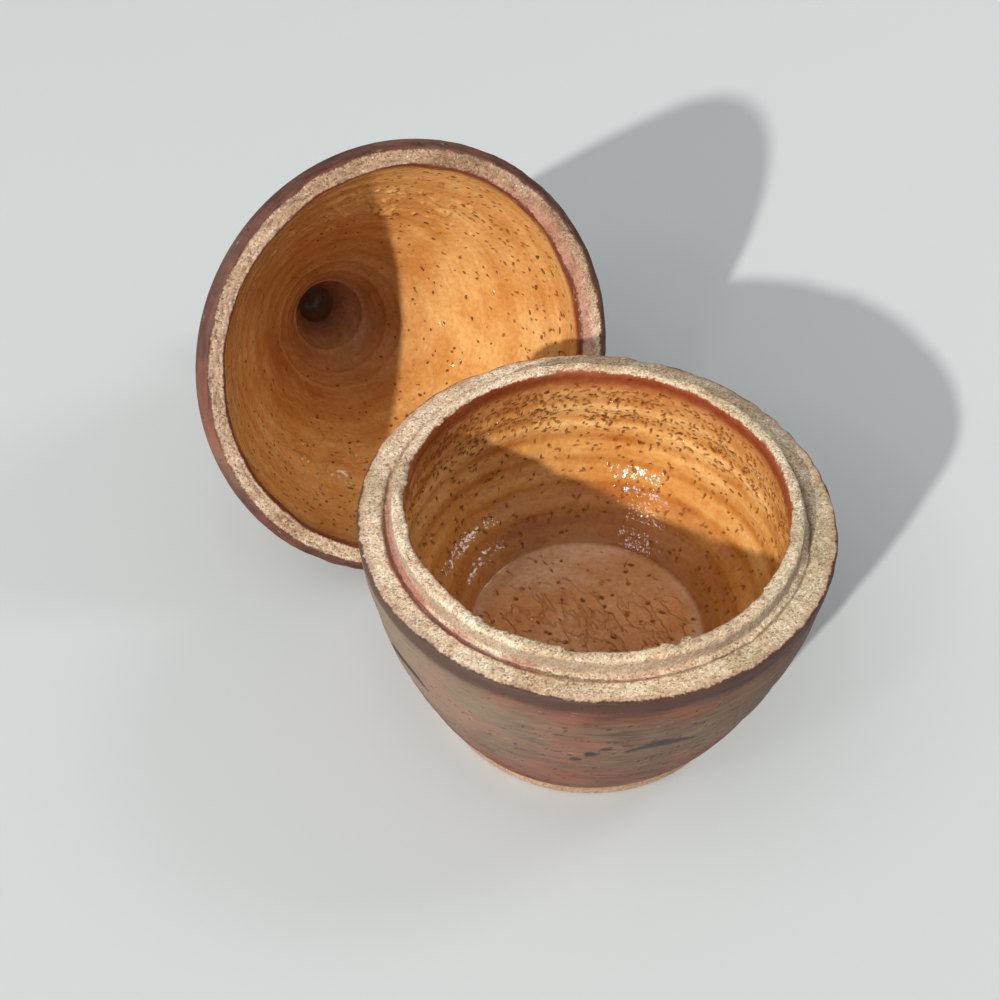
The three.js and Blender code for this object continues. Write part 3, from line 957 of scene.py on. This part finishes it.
def make_lid():
    """The lid's mesh: each field and set of marks starts with its seed."""
    pot = Pot(lid_profile())
    deep = pot.window(-9, pot.end("hollow"), 16)
    pot.drift[:, 1] = HOLLOW_DRIFT * deep[:, 0]
    inner = pot.between("inner", "skirt", 6)
    wobble = 0.5 * pot.field(13, 30, 60)
    ridge = pot.spiral(RIDGE_PITCH, wobble)
    pot.masks["pool"] = inner * 0.3 * (1 - ridge)
    pot.lift += inner * LID_RIDGE * ridge
    pot.lift += inner * LID_FINE_RIDGE * pot.spiral(FINE_PITCH)
    pot.lift += pot.between("hollow", "skirt", 4) * 0.05 * pot.field(14, 3, 5)
    for radius, height in THROAT_RINGS:
        pot.lift += height * pot.hump(pot.at_radius("hollow", "inner", radius), 0.8)

    near_rim = pot.window(pot.start("inner_edge") - 34, pot.start("inner_edge"), 8)
    pits = pot.marks(15, 700, inner * (0.3 + near_rim),
                     length=(0.28, 0.8), width=(0.22, 0.36), slant=-20, spread=55)
    pot.masks["pits"] = pits
    pot.lift -= PIT_DEPTH * pits
    upper = pot.window(pot.start("inner") + 44, pot.start("inner") + 70, 6) * pot.facing(-74) ** 24
    lower = pot.window(pot.start("inner") + 34, pot.start("inner") + 60, 6) * pot.facing(118) ** 40
    curled = upper + lower
    pot.lift += 0.8 * pot.marks(27, 120, curled, length=(0.8, 2.2), width=(0.5, 0.75), slant=0, spread=40)
    pot.lift += 1.1 * pot.marks(36, 9, curled, length=(2.6, 4.4), width=(2.2, 3), slant=0, spread=40)
    across = pot.turned(LUMP_BEARING)[None] * LUMP_RADIUS / LUMP_WIDTH
    pot.lift += LUMP_HEIGHT * pot.hump(pot.start("inner") + LUMP_PLACE, LUMP_LENGTH) * np.exp(-across ** 2)

    rim = pot.between("inner_edge", "bevel", 1)
    pot.lift += rim * (GRIT_HEIGHT * pot.field(17, GRIT_SIZE, GRIT_SIZE) - 0.12 * abs(pot.field(18, 2, 12)))
    cracked = pot.between("rim", "rim", 1) * pot.facing(-140)
    cracks = pot.marks(29, 130, cracked, length=(1, 3.6), width=(0.22, 0.4), slant=0, spread=16)
    pot.masks["cracks"] = cracks
    pot.lift -= 0.35 * cracks
    wide = pot.facing(EDGE_BEARING) ** 4
    to_edge = np.clip((pot.along - pot.start("inner_edge") + 12) / 12, 0, 1)
    from_edge = np.clip((pot.end("rim") - pot.along) / (pot.end("rim") - pot.start("rim")), 0, 1)
    pot.reach -= EDGE_DRIFT * wide * (to_edge * from_edge)[:, None]
    pot.reach += pot.hump(pot.start("inner_edge"), 1.4) * 0.3 * pot.field(30, 4, 7)
    bevel = pot.hump(pot.start("bevel") + 1.5, 2)
    pot.lift -= bevel * abs(0.25 * pot.field(31, 2.5, 4))

    outside = pot.between("dome", "knob", 6)
    pot.lift += outside * (0.1 * pot.field(20, 2.2, 60) + 0.08 * pot.field(21, 8, 20) - 0.3)
    pot.lift -= KNOB_REST * pot.hump(pot.start("crown") + 2, 9)
    pot.masks["specks"] = pot.marks(33, 1100, pot.between("bevel", "knob", 2),
                                    length=(0.3, 0.9), width=(0.22, 0.42), slant=0, spread=30)
    return add_piece(pot.mesh("thrown_lid", lid_place(pot)), lid_material(pot), "lid", "lid")


# Stage

def make_camera(jar_axis):
    """The photograph's view: its place from the jar, heading, downward pitch and slight roll."""
    away = Vector((-0.179316, -0.274584, 0.413576))
    heading = math.radians(28.3)
    pitch = math.radians(45.886)
    roll = math.radians(1.345)
    ahead = Vector((math.sin(heading) * math.cos(pitch), math.cos(heading) * math.cos(pitch),
                    -math.sin(pitch)))
    level = Vector((math.cos(heading), -math.sin(heading), 0))
    up = level.cross(ahead)
    right = math.cos(roll) * level + math.sin(roll) * up
    upward = math.cos(roll) * up - math.sin(roll) * level
    data = bpy.data.cameras.new("camera")
    data.sensor_width = 36
    data.lens = 59.5
    camera = bpy.data.objects.new("camera", data)
    turn = Matrix((right, upward, -ahead)).transposed()
    camera.matrix_world = Matrix.Translation(jar_axis + away) @ turn.to_4x4()
    bpy.context.scene.collection.objects.link(camera)
    bpy.context.scene.camera = camera


def place_lamp(data, target, bearing, elevation, distance, color):
    """A lamp aimed at a target, its bearing counted in degrees from +Y towards +X."""
    data.color = color
    turn, rise = math.radians(bearing), math.radians(elevation)
    away = Vector((math.sin(turn) * math.cos(rise), math.cos(turn) * math.cos(rise), math.sin(rise)))
    lamp = bpy.data.objects.new(data.name, data)
    aim = (-away).to_track_quat("-Z", "Y").to_matrix().to_4x4()
    lamp.matrix_world = Matrix.Translation(target + away * distance) @ aim
    bpy.context.scene.collection.objects.link(lamp)
    return lamp


def make_lamp(name, target, bearing, elevation, distance, size, power, color):
    """A round lamp of this size."""
    data = bpy.data.lights.new(name, "AREA")
    data.shape = "DISK"
    data.size = size
    data.energy = power
    return place_lamp(data, target, bearing, elevation, distance, color)


def make_key(target, bearing, elevation, distance, spread, strength, color):
    """A key light that is even over the whole floor; its spread, in degrees, softens the shadows."""
    data = bpy.data.lights.new("key", "SUN")
    data.angle = math.radians(spread)
    data.energy = strength
    return place_lamp(data, target, bearing, elevation, distance, color)


def make_world(level):
    world = bpy.data.worlds.new("world")
    bpy.context.scene.world = world
    world.use_nodes = True
    world.node_tree.nodes["Background"].inputs["Color"].default_value = (0.94, 0.97, 1, 1)
    world.node_tree.nodes["Background"].inputs["Strength"].default_value = level


def make_floor():
    half = 3
    drop = 0.0002
    corners = [(-half, -half, -drop), (half, -half, -drop), (half, half, -drop), (-half, half, -drop)]
    mesh = bpy.data.meshes.new("floor")
    mesh.from_pydata(corners, [], [(0, 1, 2, 3)])
    g = Graph("floor")
    shader = g.node("ShaderNodeBsdfPrincipled", {
        "Base Color": paint(204, 208, 208), "Roughness": 0.9, "Specular IOR Level": 0.2})
    g.node("ShaderNodeOutputMaterial", {"Surface": shader.outputs["BSDF"]})
    mesh.materials.append(g.material)
    floor = bpy.data.objects.new("floor", mesh)
    bpy.context.scene.collection.objects.link(floor)


make_camera(jar_place().translation)
make_jar()
make_lid()
make_floor()
middle = (CAD_BOX[0] + CAD_BOX[1]) / 2
make_key(middle, bearing=-122.6, elevation=25.5, distance=3, spread=1.7, strength=3.2,
         color=(1, 0.97, 0.93))
softbox = make_lamp("softbox", middle, bearing=-104, elevation=58, distance=2, size=2.4, power=13,
                    color=(1, 0.99, 0.97))
softbox.visible_glossy = False  # so that it lays no veil over the dark glaze
make_lamp("left_window", middle, bearing=-112, elevation=43, distance=1.4, size=0.16, power=1.1,
          color=(1, 1, 1))
make_lamp("right_window", middle, bearing=104, elevation=42, distance=1.4, size=0.4, power=3.2,
          color=(1, 1, 1))
make_world(level=0.35)
bpy.context.scene.view_settings.view_transform = "Standard"
